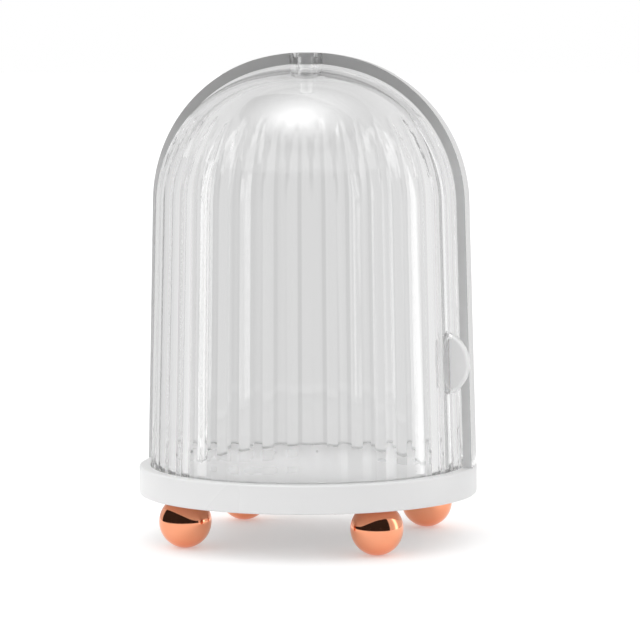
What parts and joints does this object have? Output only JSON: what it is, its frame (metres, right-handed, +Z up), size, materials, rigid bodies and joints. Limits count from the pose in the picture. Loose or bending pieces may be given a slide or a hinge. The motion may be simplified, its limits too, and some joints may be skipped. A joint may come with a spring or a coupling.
{
  "type": "makeup sponge case",
  "caption": "Clear capsule case for a makeup sponge on a round white base with ball feet; the fluted front half turns about a pin at the top of the dome to open.",
  "frame": {"origin": "centre of the case on the table, on the capsule's upright axis", "axes": "+Z up along the pivot pin, -Y to the front where the door is when shut, +X to the door's thumb tab"},
  "size_m": [0.08, 0.08, 0.1147],
  "materials": {
    "white_plastic": "glossy moulded white plastic",
    "clear_acrylic": "clear polished acrylic, see-through",
    "rose_gold_plating": "mirror rose-gold plating over plastic",
    "screw_steel": "plain zinc-plated steel"
  },
  "bodies": {
    "case": {"base_tray": "white_plastic", "floor_plate": "white_plastic", "back_shell": "clear_acrylic", "pivot_pin": "clear_acrylic", "pivot_washer": "clear_acrylic", "foot_front_left": "rose_gold_plating", "foot_front_right": "rose_gold_plating", "foot_back_left": "rose_gold_plating", "foot_back_right": "rose_gold_plating", "foot_screws": "screw_steel"},
    "door": {"front_door": "clear_acrylic"}
  },
  "joints": [
    {"name": "door_turn", "type": "hinge", "parent": "case", "child": "door", "pos_m": [0, 0, 0.1103], "axis": [0, 0, 1], "range_deg": [-173, 0]}
  ]
}
